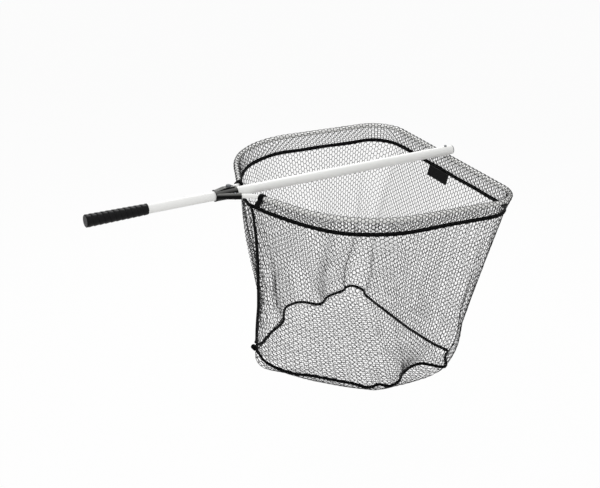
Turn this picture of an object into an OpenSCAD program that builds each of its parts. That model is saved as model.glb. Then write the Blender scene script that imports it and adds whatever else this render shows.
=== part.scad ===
// Landing net with a sliding handle: the tube runs through a moulded yoke that holds the hoop and its bag
// X runs along the handle from the butt to the tip, Z is up, the origin is the middle of the grip

/* [Handle] */
// Outside diameter of the handle tube
tube_od = 22; // [20:0.5:24]
// Wall thickness of the handle tube
tube_wall = 1.4; // [1:0.1:1.8]
// Length of the handle tube
tube_len = 936; // [920:2:1000]
// Thickness of the rim of the tip plug
tip_flange = 3; // [2:0.5:5]
// Length of the tip plug inside the tube
tip_stem = 7; // [5:0.5:8]
// Radial fit of the plugs in the tube
plug_fit = 0.1; // [0.05:0.01:0.2]

/* [Grip] */
// Length of the wrapped grip
grip_len = 142; // [130:2:160]
// Grip diameter at the butt end
grip_butt_d = 29.6; // [28:0.2:34]
// Grip diameter at the front end
grip_front_d = 25.4; // [25:0.2:28]
// Number of turns of the wrap
wrap_turns = 11; // [8:1:16]
// Depth of the groove between two turns of the wrap
wrap_groove = 1.1; // [0.5:0.1:1.2]
// Radial glue gap between grip and tube
grip_fit = 0.1; // [0.05:0.01:0.15]
// Thickness of the butt cap
butt_t = 2; // [1.5:0.5:6]
// Length of the butt cap's stem inside the tube
butt_stem = 20; // [12:1:30]

/* [Snap button] */
// Diameter of the snap button
snap_d = 6; // [5:0.2:6.6]
// Height of the snap button above the tube
snap_rise = 3.2; // [2.4:0.1:3.6]
// Distance from the snap button to the end of the tube
snap_from_tip = 17; // [15:0.5:24]
// Radial play of the snap button in its hole
snap_play = 0.4; // [0.3:0.05:0.6]
// Width of the leaf spring's strip
leaf_w = 7; // [5:0.5:7.5]
// Thickness of the leaf spring's strip
leaf_t = 0.6; // [0.4:0.1:0.8]
// Length of the leaf spring
leaf_len = 62; // [50:1:80]

/* [Yoke] */
// Distance from the grip's middle to the back of the yoke
head_pos = 233; // [190:1:290]
// Length of the yoke along the tube
yoke_len = 54; // [50:1:60]
// Diameter of the tube sleeve at the back of the yoke
yoke_rear_d = 26; // [25.6:0.1:29]
// Diameter of the tube sleeve at the front of the yoke
yoke_front_d = 28.5; // [27:0.1:31]
// Diameter of the lip at the back of the yoke
lip_d = 27.4; // [27:0.1:33]
// Width of the lip at the back of the yoke
lip_w = 3; // [2:0.5:5]
// Radial running gap between yoke and tube
slide_gap = 0.3; // [0.25:0.01:0.4]
// Angle of each hoop socket to the tube
sock_angle = 20; // [18:0.5:22]
// Distance from the tube's axis to each socket at the front of the yoke
sock_y = 28; // [27.5:0.5:30]
// Depth of each socket
sock_deep = 25; // [22:0.5:26]
// Outside diameter of a socket at its mouth
sock_d = 15.5; // [15:0.5:18]
// Outside diameter of a socket at its root
sock_root_d = 13; // [12:0.5:15]
// Radial fit of the hoop's ends in the sockets
sock_fit = 0.1; // [0.05:0.01:0.2]
// Thickness of the web between the sockets
web_t = 8; // [6:0.5:10]
// Diameter of the rivets that hold the hoop's ends
rivet_d = 3; // [2.5:0.1:3.5]
// Diameter of the rivet heads
rivet_head_d = 6.4; // [5.5:0.1:7]
// Height of the rivet heads
rivet_head_h = 1.4; // [1:0.1:1.8]
// Distance of each rivet from the mouth of its socket
rivet_in = 13; // [11:0.5:15]

/* [Lock knob] */
// Distance from the back of the yoke to the lock knob
knob_from_rear = 35.5; // [30:0.5:40]
// Diameter of the lock knob
knob_d = 12; // [11:0.2:13]
// Height of the lock knob
knob_h = 4.8; // [4.2:0.1:6]
// Length of the raised pad under the lock knob
pad_len = 24; // [20:0.5:26]
// Width of the raised pad
pad_w = 13; // [12:0.5:15]
// Height of the pad above the tube's axis
pad_top = 16; // [15.5:0.1:18]
// Gap between knob and pad
knob_gap = 0.5; // [0.3:0.1:0.8]
// Diameter of the lock screw
screw_d = 5; // [4:0.5:5.5]
// Outside diameter of the threaded insert
insert_d = 8.4; // [7.8:0.1:9]
// Thickness of the friction pad under the screw
pad_t = 1.4; // [1.2:0.1:1.8]

/* [Hoop] */
// Outside diameter of the hoop tube
hoop_od = 10; // [9:0.5:11]
// Wall thickness of the hoop tube
hoop_wall = 1; // [0.8:0.1:1.5]
// Width of the hoop between the middles of its side tubes
hoop_w = 594; // [560:2:640]
// Distance from the front of the yoke to the far side of the hoop
hoop_long = 578; // [556:2:626]
// Bend radius of the two far corners
corner_r = 77; // [60:1:100]
// Bend radius of the two shoulders
shoulder_r = 238; // [200:2:250]
// Distance from the front of the yoke to the bend of the two stubs
stub_x = 28; // [27:0.5:34]
// Bend radius of the two stubs
stub_r = 33; // [30:1:42]
// Distance from the front of the yoke to the point where shoulder and side lines meet
shoulder_x = 136; // [126:1:146]
// Height of the hoop at the front of the yoke
hoop_z = -0.8; // [-2:0.1:0]
// Downward slope of the hoop towards its far side
hoop_tilt = 2.2; // [2:0.05:2.4]

// Extra thickness of the hoop tube's wall in its bends, on each face
bend_swell = 0.02; // [0.01:0.01:0.04]
// Length by which a straight length of the hoop tube runs into a bend
bend_lap = 0.3; // [0.2:0.1:0.5]

/* [Net] */
// Thickness of the netting
net_t = 1; // [0.8:0.1:1.4]
// Gap between the sleeve and the hoop tube
sleeve_gap = 0.8; // [0.6:0.1:1.2]
// Bare length of each arm before the sleeve begins
bare_len = 3; // [2:1:12]
// Distance of the rim seam below the middle of the hoop tube
rim_drop = 36; // [31:1:42]
// Distance of the rim seam inside the middle line of the hoop
rim_in = 9; // [7:0.5:11]
// Depth of the base seam below the tube's axis
bag_depth = 446; // [386:5:486]
// Distance from the front of the yoke to the back corner of the rim
rim_back = 34; // [30:1:37]
// Distance from the tube's axis to the turn of the rim seam beside the yoke
rim_turn = 54; // [52:0.5:57]
// Bend radius of the rim seam at that turn
rim_turn_r = 16; // [12:1:18]
// Distance from the front of the yoke to the back corner of the base
base_back = 47; // [41:1:70]
// Distance from the front of the yoke to the far side of the base
base_far = 456; // [430:2:480]
// Width of the base panel
base_w = 480; // [420:2:490]
// Lift of the base's back corner above the rest of its seam
base_lift = 45; // [36:1:50]
// Sag of the base panel below its seam
base_sag = 42; // [20:1:50]
// Draw of the netting inwards half way down its side
net_waist = 7; // [0:0.5:10]
// Width of the bars between the openings that stand for the mesh
bar_w = 8; // [5:0.5:12]

/* [Bindings] */
// Height of the rim binding
rim_h = 7; // [5:0.5:9]
// Height of the base binding
base_h = 5; // [4:0.5:7]
// Thickness of the bindings
bind_t = 2.4; // [2:0.1:3]
// Gap between a binding and the netting beside it
sew_gap = 0.3; // [0.25:0.05:0.4]
// Length of the bound end of each sleeve
end_len = 9; // [6:0.5:12]
// Thickness of the bound end of each sleeve
end_t = 1.8; // [1.2:0.1:2.4]
// Width of the seam tape down the back of the bag
seam_w = 8; // [6:0.5:10]
// Length of the label tab along the rim
label_len = 84; // [60:1:100]
// Sideways place of the middle of the label tab
label_side = 29; // [-40:1:40]
// Drop of the label tab below the rim binding
label_drop = 24; // [16:1:28]
// Thickness of the label tab
label_t = 1.2; // [0.8:0.1:1.6]
// Diameter of the folded tape end at the foot of the back seam
tab_d = 8; // [6:0.5:10]
// Length of the folded tape end at the foot of the back seam
tab_len = 14; // [10:1:18]

/* [Hidden] */
$fn = 48;
tube_r = tube_od / 2;
tube_id = tube_od - 2 * tube_wall;
tube_start = -grip_len / 2;
tube_end = tube_start + tube_len;
snap_x = tube_end - snap_from_tip;
snap_seat = tube_id / 2 - 2.4;
bore_d = tube_od + 2 * slide_gap;
yoke_front = head_pos + yoke_len;
knob_x = head_pos + knob_from_rear;
hoop_r = hoop_od / 2;
half_w = hoop_w / 2;
sock_in = [-sock_deep, sock_y - sock_deep * tan(sock_angle)];
stub_pt = [stub_x, sock_y + stub_x * tan(sock_angle)];
shoulder_pt = [shoulder_x, half_w];
corner_pt = [hoop_long, half_w];
far_pt = [hoop_long, 0];
rivet_pt = [-rivet_in, sock_y - rivet_in * tan(sock_angle)];
arc_n = 12;

function unit(v) = v / norm(v);
// Middle of the bend that rounds corner b between a and c
function bend_mid(a, b, c, r) = b + unit(unit(a - b) + unit(c - b)) * r / sin(bend_half(a, b, c));
function bend_half(a, b, c) = acos(unit(a - b) * unit(c - b)) / 2;
function bend_from(a, b, c, r) = b + unit(a - b) * r / tan(bend_half(a, b, c));
function bend_angle(o, s, e) = atan2(cross(s - o, e - o), (s - o) * (e - o));
function heading(v) = atan2(v[1], v[0]);
// Points along a bend, from share k0 to share k1 of it
function bend(a, b, c, r, n, k0 = 0, k1 = 1) =
    let (o = bend_mid(a, b, c, r))
    let (s = bend_from(a, b, c, r))
    let (h = heading(s - o))
    let (d = bend_angle(o, s, bend_from(c, b, a, r)))
    [for (i = [0:n]) let (q = h + d * (k0 + (k1 - k0) * i / n)) o + r * [cos(q), sin(q)]];
// Even steps along a line of points, without its last point
function lengths(p) = [for (i = 0, s = 0; i < len(p); s = s + (i + 1 < len(p) ? norm(p[i + 1] - p[i]) : 0),
    i = i + 1) s];
function column(s, p, k) = [for (i = [0:len(p) - 1]) [s[i], p[i][k]]];
function steps(p, n) =
    let (s = lengths(p))
    let (all = s[len(s) - 1])
    [for (i = [0:n - 1]) [for (k = [0:len(p[0]) - 1]) lookup(all * i / n, column(s, p, k))]];
// Point at share t of the smooth curve after point i of a closed loop
function smooth(p, i, t) =
    let (n = len(p))
    let (a = p[(i + n - 1) % n])
    let (b = p[i % n])
    let (c = p[(i + 1) % n])
    let (d = p[(i + 2) % n])
    b + ((c - a) * t + (2 * a - 5 * b + 4 * c - d) * t * t + (3 * b - a - 3 * c + d) * t * t * t) / 2;
function smooth_part(p, i, j) =
    concat([for (k = [i:j - 1], t = [0:0.25:0.75]) smooth(p, k, t)], [smooth(p, j, 0)]);
function flip(p) = [p[0], -p[1]];
// Full loop from the half loop on the far side, which starts at the back and ends before the far middle
function loop(h, last) = concat(h, [last], [for (i = [len(h) - 1:-1:1]) flip(h[i])]);
function hoop_mid_z(x) = hoop_z - x * tan(hoop_tilt);

// Steps of the rim and base lines: back to shoulder, to corner, to far middle, and home again
loop_steps = [12, 14, 10, 10, 14, 12];
rim_back_pt = [rim_back, 0];
rim_side_pt = [rim_back + rim_in * 4 / 3, rim_turn];
rim_shoulder_pt = shoulder_pt + [rim_in * 0.4, -rim_in];
rim_corner_pt = corner_pt - [rim_in, rim_in];
rim_far_pt = far_pt - [rim_in, 0];
rim_shoulder_r = shoulder_r - rim_in;
rim_corner_r = corner_r - rim_in;
rim_half = concat(
    steps(concat([rim_back_pt], bend(rim_back_pt, rim_side_pt, rim_shoulder_pt, rim_turn_r, 4),
        bend(rim_side_pt, rim_shoulder_pt, rim_corner_pt, rim_shoulder_r, arc_n, 0, 0.5)), loop_steps[0]),
    steps(concat(bend(rim_side_pt, rim_shoulder_pt, rim_corner_pt, rim_shoulder_r, arc_n, 0.5, 1),
        bend(rim_shoulder_pt, rim_corner_pt, rim_far_pt, rim_corner_r, arc_n, 0, 0.5)), loop_steps[1]),
    steps(concat(bend(rim_shoulder_pt, rim_corner_pt, rim_far_pt, rim_corner_r, arc_n, 0.5, 1),
        [rim_far_pt]), loop_steps[2]));
rim = loop(rim_half, rim_far_pt);
// Turns of the base seam from its back corner round the far side: shares of its length, half width and lift
base_turns = [[0, 0, 1], [0.05, 0.14, 0.85], [0.25, 0.4, 0.5], [0.46, 0.88, 0.1], [0.58, 0.99, 0],
    [0.7, 0.85, 0], [0.88, 1, 0], [1.01, 1.08, 0], [1.02, 0.8, 0], [1, 0, 0.07], [1.03, -0.74, 0.14],
    [0.93, -0.98, 0.07], [0.82, -0.79, 0], [0.68, -0.88, 0], [0.55, -1.03, 0], [0.42, -0.97, 0],
    [0.2, -0.5, 0.05], [0.05, -0.14, 0.7]];
// The turns that hang under the rim's shoulders, corners and far middle
base_marks = [0, 3, 7, 9, 11, 14, 18];
base_pts = [for (t = base_turns)
    [base_back + t[0] * (base_far - base_back), t[1] * base_w / 2, t[2] * base_lift - bag_depth]];
base = [for (k = [0:5]) each steps(smooth_part(base_pts, base_marks[k], base_marks[k + 1]), loop_steps[k])];
loop_n = len(rim);
function rim_z(p) = hoop_mid_z(p[0] + rim_in) - rim_drop;
// Level outward normal of a closed loop at point i
function out_n(p, i) =
    let (t = p[(i + 1) % loop_n] - p[(i + loop_n - 1) % loop_n])
    unit([-t[1], t[0]]);
function at(p, z) = [yoke_front + p[0], p[1], z];
// Sleeve line along the hoop from the far arm round to the near arm
arm_dir = unit(shoulder_pt - stub_pt);
arm_from = bend_from(shoulder_pt, stub_pt, sock_in, stub_r) + bare_len * arm_dir;
sleeve_half = concat([arm_from, arm_from + end_len * arm_dir],
    bend(stub_pt, shoulder_pt, corner_pt, shoulder_r, arc_n),
    bend(shoulder_pt, corner_pt, far_pt, corner_r, arc_n));
sleeve_line = concat(sleeve_half, [far_pt], [for (i = [len(sleeve_half) - 1:-1:0]) flip(sleeve_half[i])]);
function line_n(p, i) =
    let (t = unit(p[min(i + 1, len(p) - 1)] - p[max(i - 1, 0)]))
    [-t[1], t[0]];
sleeve_foot = rim_drop - rim_h / 2 - sew_gap;
// Thickness of the bound end under the foot of the sleeve
end_web = 0.35;
// Section of the sleeve: over the hoop tube and down to the rim seam
function sleeve_sec(r, w, z) = concat([for (a = [-20:22:200]) [r * cos(a), r * sin(a)]], 
    [[-rim_in - w, -z], [-rim_in + w, -z]]);
function place_sec(p, i, sec) = [for (q = sec)
    at(p[i] + q[0] * line_n(p, i), hoop_mid_z(p[i][0]) + q[1])];
function tube_rings(p, outer, inner) = concat([for (i = [0:len(p) - 1]) place_sec(p, i, outer)],
    [for (i = [len(p) - 1:-1:0]) place_sec(p, i, inner)]);
// Openings that stand for the mesh: steps of the rim line to each, number down the side, half bars as shares
open_steps = 3;
open_rows = 6;
open_n = loop_n / open_steps;
bar_u = bar_w / 2 * loop_n / lengths(rim)[loop_n - 1];
bar_v = bar_w / 2 / (bag_depth - rim_drop);
rim_out = [for (i = [0:loop_n - 1]) out_n(rim, i)];
base_out = [for (i = [0:loop_n - 1]) out_n(base, i)];
wall_top = [for (p = rim) [p[0], p[1], rim_z(p) - rim_h / 2 - sew_gap]];
wall_foot = [for (p = base) p + [0, 0, base_h / 2 + sew_gap]];
function between(list, u) =
    let (i = floor(u))
    list[i % loop_n] * (1 - u + i) + list[(i + 1) % loop_n] * (u - i);
// Point of the bag's side: u steps along the rim, share v of the way down, on its outer or inner face
function wall_pt(u, v, side) =
    let (p = between(wall_top, u) * (1 - v) + between(wall_foot, u) * v)
    let (n = unit(between(rim_out, u) * (1 - v) + between(base_out, u) * v))
    let (draw = net_waist * pow(sin(180 * v), 2) * min(1, min(u, loop_n - u) / open_steps))
    at([p[0], p[1]] + n * (side * net_t / 2 - draw), p[2]);
base_mid = [base_back + (base_far - base_back) * 0.55, 0];
base_rings = [0.3, 0.6, 0.8, 0.92, 1];
function base_pt(i, r, side) =
    let (d = [base[i][0], base[i][1]] - base_out[i] * (bind_t / 2 + sew_gap) - base_mid)
    let (level = base[i][2] * pow(r, 3) - bag_depth * (1 - pow(r, 3)))
    at(base_mid + d * r, level - base_sag * (1 - pow(r, 8)) + side * net_t / 2);

// Solid from a grid of points that closes on itself both ways
module closed_grid(g) {
    n = len(g);
    m = len(g[0]);
    polyhedron(points = [for (r = g, p = r) p],
        faces = [for (i = [0:n - 1], j = [0:m - 1], k = [0, 1])
            let (i1 = (i + 1) % n)
            let (j1 = (j + 1) % m)
            k == 0 ? [i * m + j, i1 * m + j, i1 * m + j1] : [i * m + j, i1 * m + j1, i * m + j1]]);
}
// Flat tape on edge along a closed loop
module loop_tape(p, h, z_of) {
    closed_grid([for (i = [0:loop_n - 1]) [for (q = [[1, 1], [-1, 1], [-1, -1], [1, -1]])
        at([p[i][0], p[i][1]] + out_n(p, i) * q[0] * bind_t / 2, z_of[i] + q[1] * h / 2)]]);
}
module along_x(x) {
    translate([x, 0, 0]) rotate([0, 90, 0]) children();
}
module on_hoop() {
    translate([yoke_front, 0, hoop_z]) rotate([0, hoop_tilt, 0]) children();
}
module ring_2d(r, w) {
    difference() {
        circle(r);
        circle(r - w);
    }
}
module hoop_line(a, b) {
    translate([a[0], a[1], 0]) rotate([0, 0, heading(b - a)]) rotate([0, 90, 0]) translate([0, 0, -bend_lap])
        linear_extrude(norm(b - a) + 2 * bend_lap) ring_2d(hoop_r - bend_swell, hoop_wall - 2 * bend_swell);
}
module hoop_bend(a, b, c, r) {
    o = bend_mid(a, b, c, r);
    s = bend_from(a, b, c, r);
    e = bend_from(c, b, a, r);
    d = bend_angle(o, s, e);
    translate([o[0], o[1], 0]) rotate([0, 0, d > 0 ? heading(s - o) : heading(e - o)])
        rotate_extrude(angle = abs(d), $fn = 96) translate([r, 0]) ring_2d(hoop_r, hoop_wall);
}
module hoop_side() {
    hoop_line(sock_in, bend_from(sock_in, stub_pt, shoulder_pt, stub_r));
    hoop_bend(sock_in, stub_pt, shoulder_pt, stub_r);
    hoop_line(bend_from(shoulder_pt, stub_pt, sock_in, stub_r),
        bend_from(stub_pt, shoulder_pt, corner_pt, shoulder_r));
    hoop_bend(stub_pt, shoulder_pt, corner_pt, shoulder_r);
    hoop_line(bend_from(corner_pt, shoulder_pt, stub_pt, shoulder_r),
        bend_from(shoulder_pt, corner_pt, far_pt, corner_r));
    hoop_bend(shoulder_pt, corner_pt, far_pt, corner_r);
}
// Straight up through a rivet's place, on the far side for s = 1 and the near side for s = -1
module at_rivet(s) {
    on_hoop() translate([rivet_pt[0], s * rivet_pt[1], 0]) children();
}
module rivet(s) {
    seat = sock_d / 2 - rivet_head_h;
    at_rivet(s) union() {
        translate([0, 0, -seat]) cylinder(d = rivet_d, h = 2 * seat);
        translate([0, 0, seat]) cylinder(d1 = rivet_head_d, d2 = rivet_head_d * 0.6, h = rivet_head_h);
        translate([0, 0, -seat - rivet_head_h])
            cylinder(d1 = rivet_head_d * 0.6, d2 = rivet_head_d, h = rivet_head_h);
    }
}
module sleeve_end(near) {
    p = near ? [flip(sleeve_half[1]), flip(sleeve_half[0])] : [sleeve_half[0], sleeve_half[1]];
    r = hoop_r + sleeve_gap + net_t + sew_gap;
    w = net_t * 1.3 + sew_gap;
    closed_grid(tube_rings(p, sleeve_sec(r + end_t, w + end_t, sleeve_foot),
        sleeve_sec(r, w, sleeve_foot - end_web)));
}

module handle_tube() {
    color([0.93, 0.93, 0.92]) difference() {
        along_x(tube_start) cylinder(d = tube_od, h = tube_len);
        along_x(tube_start - 1) cylinder(d = tube_id, h = tube_len + 2);
        translate([snap_x, 0, 0]) cylinder(d = snap_d + 2 * snap_play, h = tube_od);
    }
}
module grip() {
    n = wrap_turns * 5;
    m = 24;
    function grip_r(t, a) =
        let (f = wrap_turns * t - a / 360 + 1)
        grip_butt_d / 2 + (grip_front_d - grip_butt_d) / 2 * t
            - wrap_groove * (1 - sin(180 * (f - floor(f))));
    color([0.08, 0.08, 0.08]) difference() {
        polyhedron(points = [for (i = [0:n], j = [0:m - 1]) let (a = 360 * j / m)
            let (r = grip_r(i / n, a))
            [tube_start + grip_len * i / n, r * cos(a), r * sin(a)]],
            faces = concat([[for (j = [0:m - 1]) j]], [[for (j = [m - 1:-1:0]) n * m + j]],
                [for (i = [0:n - 1], j = [0:m - 1], k = [0, 1]) let (j1 = (j + 1) % m)
                    k == 0 ? [i * m + j, (i + 1) * m + j, (i + 1) * m + j1]
                        : [i * m + j, (i + 1) * m + j1, i * m + j1]]));
        along_x(tube_start - 1) cylinder(d = tube_od + 2 * grip_fit, h = grip_len + 2);
    }
}
module butt_cap() {
    r = grip_butt_d / 2;
    color([0.1, 0.1, 0.1]) along_x(tube_start) rotate_extrude() polygon([[0, -butt_t], [r - 1.5, -butt_t],
        [r - 0.4, -butt_t + 1.1], [r - 0.4, -0.1], [tube_id / 2 - plug_fit, -0.1],
        [tube_id / 2 - plug_fit, butt_stem], [0, butt_stem]]);
}
module tip_plug() {
    color([0.45, 0.45, 0.45]) along_x(tube_end) rotate_extrude() polygon([[0, -tip_stem],
        [tube_id / 2 - plug_fit, -tip_stem], [tube_id / 2 - plug_fit, 0.1], [tube_r - 0.1, 0.1],
        [tube_r - 0.1, tip_flange * 0.4], [tube_r - tip_flange * 0.25, tip_flange * 0.8],
        [tube_r - tip_flange * 0.7, tip_flange], [0, tip_flange]]);
}
module snap_spring() {
    x0 = snap_x + snap_d - leaf_len;
    x1 = snap_x - snap_d;
    x2 = snap_x + snap_d;
    z1 = snap_seat;
    z0 = -sqrt(tube_id * tube_id - leaf_w * leaf_w) / 2 + 0.3;
    color([0.6, 0.6, 0.62]) translate([0, leaf_w / 2, 0]) rotate([90, 0, 0]) linear_extrude(leaf_w)
        polygon([[x0, z0], [x2, z0], [x2, z0 + leaf_t], [x0 + 3, z0 + leaf_t], [x0 + leaf_t, z0 + 3],
            [x1, z1 - leaf_t], [x2, z1 - leaf_t], [x2, z1], [x1 - 0.3, z1], [x0, z0 + 3.6]]);
}
module snap_button() {
    z1 = tube_r + snap_rise;
    color([0.35, 0.35, 0.36]) translate([snap_x, 0, 0]) rotate_extrude() polygon([[0, snap_seat + 0.05],
        [snap_d / 2 + 1, snap_seat + 0.05], [snap_d / 2 + 1, snap_seat + 1], [snap_d / 2, snap_seat + 1],
        [snap_d / 2, z1 - 1.4], [snap_d / 2 - 0.5, z1 - 0.5], [snap_d / 2 - 1.5, z1], [0, z1]]);
}
module yoke() {
    sock_back = (sock_y - 9) / sin(sock_angle);
    pad_rear = sqrt(pow(yoke_rear_d, 2) - pow(pad_w, 2)) / 2;
    pad_x = knob_x - pad_len / 2;
    seat = sock_d / 2 - rivet_head_h;
    color([0.12, 0.12, 0.12]) difference() {
        union() {
            along_x(head_pos) cylinder(d = lip_d, h = lip_w);
            along_x(head_pos) cylinder(d1 = yoke_rear_d, d2 = yoke_front_d, h = yoke_len);
            translate([0, pad_w / 2, 0]) rotate([90, 0, 0]) linear_extrude(pad_w)
                polygon([[head_pos + lip_w, 0], [head_pos + lip_w, pad_rear],
                    [pad_x, pad_top], [pad_x + pad_len, pad_top],
                    [pad_x + pad_len + 1.5, yoke_rear_d / 2 - 2], [pad_x + pad_len + 1.5, 0]]);
            for (s = [-1, 1])
                on_hoop() translate([0, s * sock_y, 0]) rotate([0, -90, -s * (180 - sock_angle) + 180 * s])
                    cylinder(d1 = sock_d, d2 = sock_root_d, h = sock_back);
            on_hoop() translate([0, 0, -web_t / 2]) linear_extrude(web_t)
                polygon([[-yoke_len + lip_w, -6], [-5, -sock_y + 2], [-5, sock_y - 2],
                    [-yoke_len + lip_w, 6]]);
        }
        along_x(head_pos - 1) cylinder(d = bore_d, h = yoke_len + 2);
        for (s = [-1, 1]) {
            on_hoop() translate([sock_in[0], s * sock_in[1], 0]) rotate([0, 90, s * sock_angle])
                translate([0, 0, -2 * bend_lap]) cylinder(d = hoop_od + 2 * sock_fit, h = 3 * sock_deep);
            at_rivet(s) translate([0, 0, -sock_d]) cylinder(d = rivet_d + 0.2, h = 2 * sock_d);
            at_rivet(s) translate([0, 0, seat]) cylinder(d = rivet_head_d + 0.6, h = sock_d);
            at_rivet(s) translate([0, 0, -seat - sock_d]) cylinder(d = rivet_head_d + 0.6, h = sock_d);
        }
        translate([knob_x, 0, 0]) cylinder(d = insert_d + 0.1, h = pad_top + 5);
    }
}
module lock_insert() {
    color([0.72, 0.58, 0.3]) translate([knob_x, 0, tube_r + slide_gap + 0.3]) difference() {
        cylinder(d = insert_d, h = pad_top - tube_r - slide_gap - 0.3);
        translate([0, 0, -1]) cylinder(d = screw_d + 0.2, h = pad_top);
        translate([0, 0, -1]) cylinder(d = screw_d + 1.2, h = pad_t + 1);
    }
}
module lock_pad() {
    color([0.85, 0.85, 0.8]) translate([knob_x, 0, tube_r + slide_gap])
        cylinder(d = screw_d + 0.9, h = pad_t);
}
module lock_screw() {
    z0 = tube_r + slide_gap + pad_t + 0.1;
    color([0.6, 0.6, 0.62]) translate([knob_x, 0, z0])
        cylinder(d = screw_d, h = pad_top + knob_gap + knob_h * 0.55 - z0);
}
module lock_knob() {
    r = knob_d / 2;
    color([0.2, 0.2, 0.2]) translate([knob_x, 0, pad_top + knob_gap]) difference() {
        rotate_extrude() polygon([[0, 0], [r - 0.4, 0], [r, 0.4], [r, knob_h * 0.42],
            [r * 0.94, knob_h * 0.63],
            [r * 0.8, knob_h * 0.8], [r * 0.6, knob_h * 0.92], [r * 0.3, knob_h * 0.985], [0, knob_h]]);
        translate([0, 0, -1]) cylinder(d = screw_d + 0.04, h = 1.02 + knob_h * 0.55);
        for (a = [0:30:330])
            rotate([0, 0, a]) translate([r + 0.55, 0, -1]) cylinder(r = 0.9, h = knob_h * 0.62 + 1, $fn = 16);
    }
}
module rivet_near() {
    color([0.7, 0.7, 0.7]) rivet(-1);
}
module rivet_far() {
    color([0.7, 0.7, 0.7]) rivet(1);
}
module hoop() {
    far_from = bend_from(far_pt, corner_pt, shoulder_pt, corner_r);
    color([0.93, 0.93, 0.92]) difference() {
        on_hoop() union() {
            hoop_side();
            mirror([0, 1, 0]) hoop_side();
            hoop_line(far_from, flip(far_from));
        }
        for (s = [-1, 1])
            at_rivet(s) translate([0, 0, -hoop_od]) cylinder(d = rivet_d + 0.2, h = 2 * hoop_od);
    }
}
module net_sleeve() {
    r = hoop_r + sleeve_gap;
    color([0.3, 0.3, 0.3]) closed_grid(tube_rings(sleeve_line,
        sleeve_sec(r + net_t, net_t * 1.3, sleeve_foot - end_web - 0.2),
        sleeve_sec(r, net_t * 0.25, sleeve_foot - end_web - 1.2)));
}
module net_side() {
    grid = loop_n * (open_rows + 1);
    hole = open_n * open_rows * 2 * (open_steps + 1);
    function corner(f, i, r) = f * grid + r * loop_n + i % loop_n;
    function edge(f, c, r, low, k) =
        2 * grid + f * hole + ((r * open_n + c) * 2 + low) * (open_steps + 1) + k;
    function pair(a, b, c, d) = [[a, b, c], [a, c, d]];
    function turned(f, q) = f == 0 ? q : [q[0], q[3], q[2], q[1]];
    function quad(f, a, b, c, d) = let (q = turned(f, [a, b, c, d])) pair(q[0], q[1], q[2], q[3]);
    function hole_u(c, k) = open_steps * c + (k == 0 ? bar_u : k == open_steps ? open_steps - bar_u : k);
    points = concat(
        [for (f = [0, 1], r = [0:open_rows], i = [0:loop_n - 1]) wall_pt(i, r / open_rows, 1 - 2 * f)],
        [for (f = [0, 1], r = [0:open_rows - 1], c = [0:open_n - 1], low = [0, 1], k = [0:open_steps])
            wall_pt(hole_u(c, k), (r + low) / open_rows + (1 - 2 * low) * bar_v, 1 - 2 * f)]);
    bars = [for (f = [0, 1], r = [0:open_rows - 1], c = [0:open_n - 1])
        let (i = open_steps * c)
        let (e = open_steps)
        each concat(
            [for (low = [0, 1], k = [0:e - 1]) each quad((f + low) % 2, corner(f, i + k + 1, r + low),
                corner(f, i + k, r + low), edge(f, c, r, low, k), edge(f, c, r, low, k + 1))],
            quad(f, corner(f, i, r), corner(f, i, r + 1), edge(f, c, r, 1, 0), edge(f, c, r, 0, 0)),
            quad(f, corner(f, i + e, r + 1), corner(f, i + e, r), edge(f, c, r, 0, e), edge(f, c, r, 1, e)))];
    reveals = [for (r = [0:open_rows - 1], c = [0:open_n - 1])
        let (e = open_steps)
        each concat(
            [for (low = [0, 1], k = [0:e - 1]) each quad(low,
                edge(0, c, r, low, k + 1), edge(0, c, r, low, k),
                edge(1, c, r, low, k), edge(1, c, r, low, k + 1))],
            [for (s = [0, 1]) each quad(s, edge(0, c, r, 0, s * e), edge(0, c, r, 1, s * e),
                edge(1, c, r, 1, s * e), edge(1, c, r, 0, s * e))])];
    hems = [for (s = [0, 1], i = [0:loop_n - 1]) each quad(s, corner(0, i, s * open_rows),
        corner(0, i + 1, s * open_rows), corner(1, i + 1, s * open_rows), corner(1, i, s * open_rows))];
    color([0.3, 0.3, 0.3]) polyhedron(points = points, faces = concat(bars, reveals, hems));
}
module net_base() {
    n = loop_n;
    rings = concat([for (r = base_rings) [for (i = [0:n - 1]) base_pt(i, r, 1)]],
        [for (k = [len(base_rings) - 1:-1:0]) [for (i = [0:n - 1]) base_pt(i, base_rings[k], -1)]]);
    m = len(rings);
    color([0.3, 0.3, 0.3]) polyhedron(
        points = concat([for (r = rings, p = r) p], [base_pt(0, 0, 1), base_pt(0, 0, -1)]),
        faces = concat([for (i = [0:n - 1]) [m * n, i, (i + 1) % n]],
            [for (i = [0:n - 1]) [m * n + 1, (m - 1) * n + (i + 1) % n, (m - 1) * n + i]],
            [for (j = [0:m - 2], i = [0:n - 1], k = [0, 1]) let (i1 = (i + 1) % n)
                k == 0 ? [j * n + i, (j + 1) * n + i, (j + 1) * n + i1]
                    : [j * n + i, (j + 1) * n + i1, j * n + i1]]));
}
module rim_binding() {
    color([0.05, 0.05, 0.05]) loop_tape(rim, rim_h, [for (p = rim) rim_z(p)]);
}
module base_binding() {
    color([0.05, 0.05, 0.05]) loop_tape(base, base_h, [for (p = base) p[2]]);
}
module back_seam() {
    top = [yoke_front + wall_top[0][0], wall_top[0][2]];
    foot = [yoke_front + wall_foot[0][0], wall_foot[0][2]];
    color([0.05, 0.05, 0.05]) translate([top[0], 0, top[1]])
        rotate([0, heading([top[1] - foot[1], -(foot[0] - top[0])]), 0])
        translate([-net_t - sew_gap - bind_t * 0.7, -seam_w / 2, -norm(foot - top)])
        cube([bind_t * 0.7, seam_w, norm(foot - top)]);
}
module sleeve_end_near() {
    color([0.05, 0.05, 0.05]) sleeve_end(true);
}
module sleeve_end_far() {
    color([0.05, 0.05, 0.05]) sleeve_end(false);
}
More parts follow.
